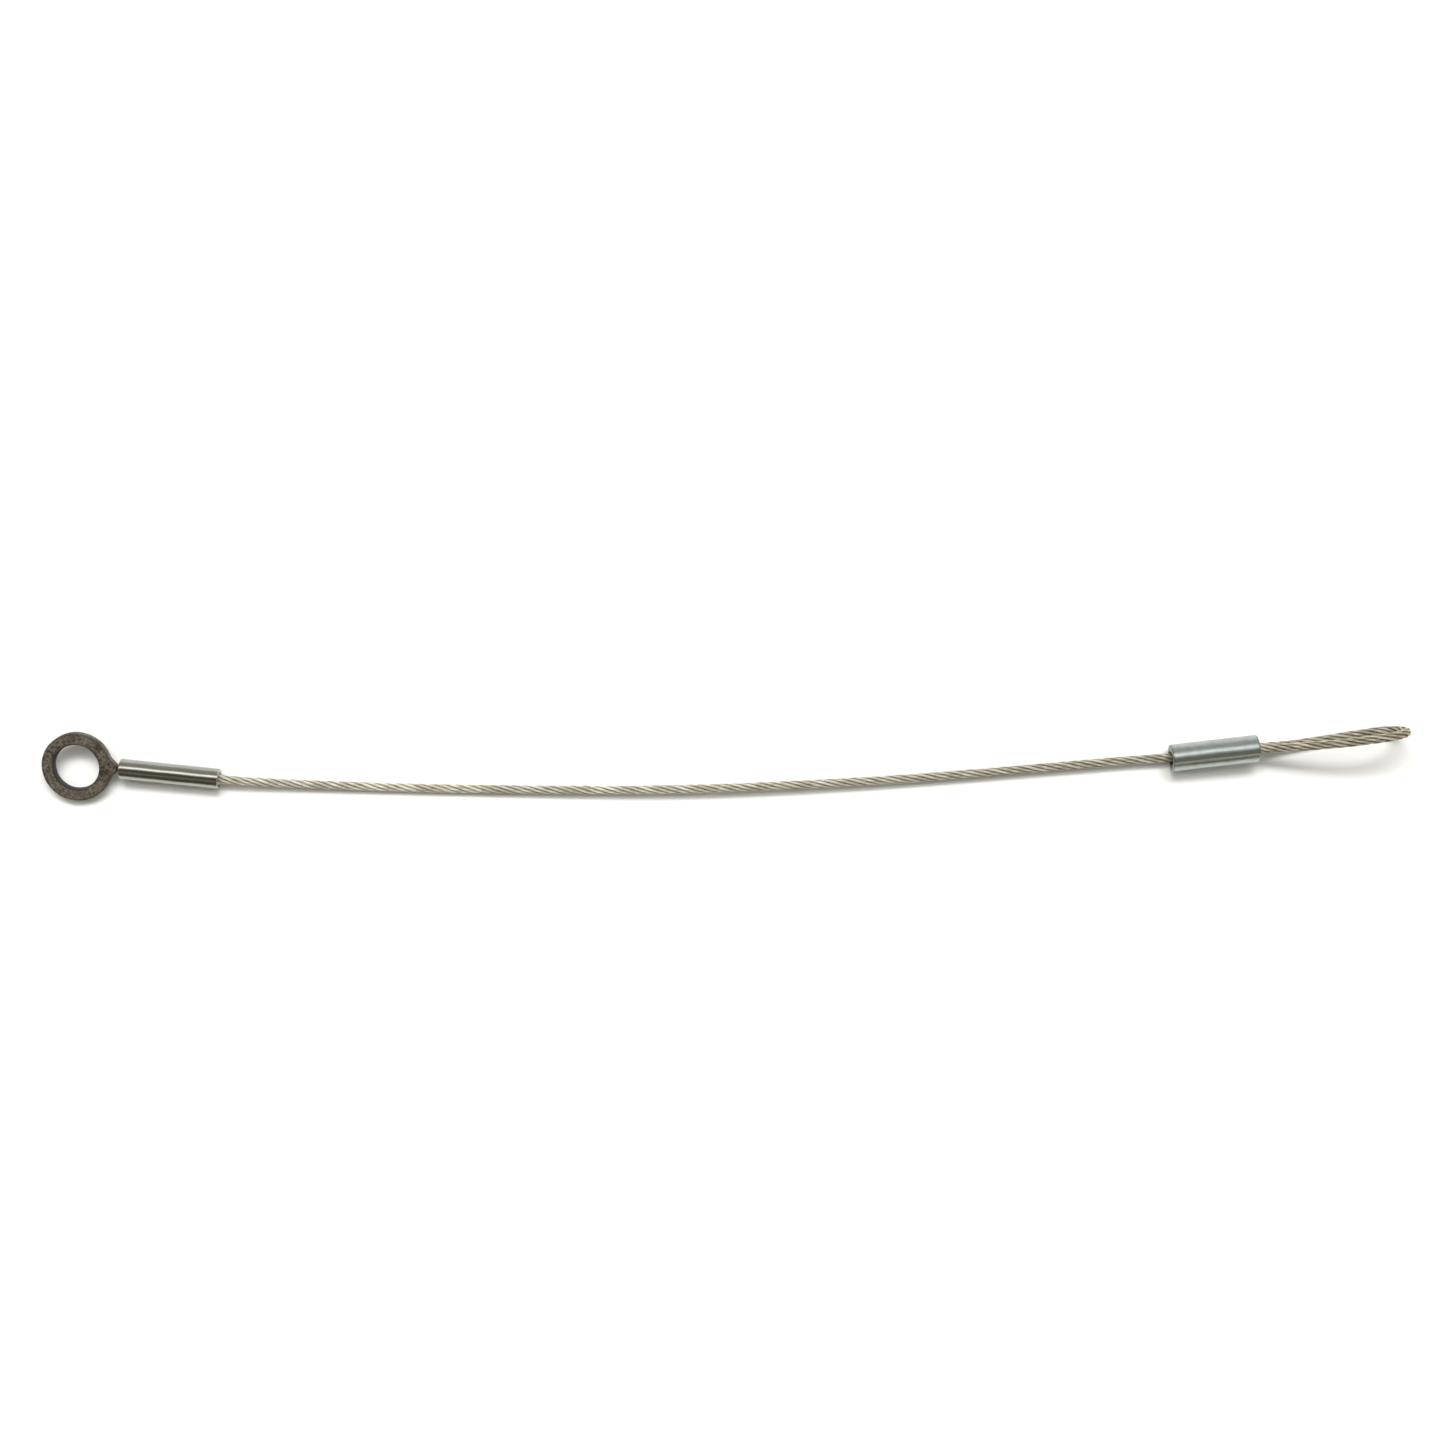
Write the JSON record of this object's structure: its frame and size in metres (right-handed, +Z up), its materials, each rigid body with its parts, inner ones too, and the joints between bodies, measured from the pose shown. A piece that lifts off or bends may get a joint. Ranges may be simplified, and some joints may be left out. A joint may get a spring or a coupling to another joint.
{
  "type": "wire rope tether with ring eye",
  "caption": "Short wire rope tether: a flat ring eye on a swaged barrel at one end and a soft loop held by a crimped sleeve at the other.",
  "frame": {"origin": "on the surface that the tether lies on, under the centre of the box round the three metal fittings", "axes": "+X from the ring eye towards the loop, +Z up"},
  "size_m": [0.2499, 0.0137, 0.0094],
  "materials": {
    "eye_steel": "heat darkened brown-grey steel with a fine rough grain",
    "barrel_steel": "drawn satin stainless tube with fine lengthwise lines",
    "rope_wire": "warm grey galvanised wire, slightly greasy between the strands",
    "ferrule_zinc": "bluish zinc plated sleeve, satin, with lengthwise press lines"
  },
  "bodies": {
    "root": {"eye_ring": "eye_steel", "barrel": "barrel_steel", "wire_rope": "rope_wire", "crimp_ferrule": "ferrule_zinc"}
  },
  "joints": []
}
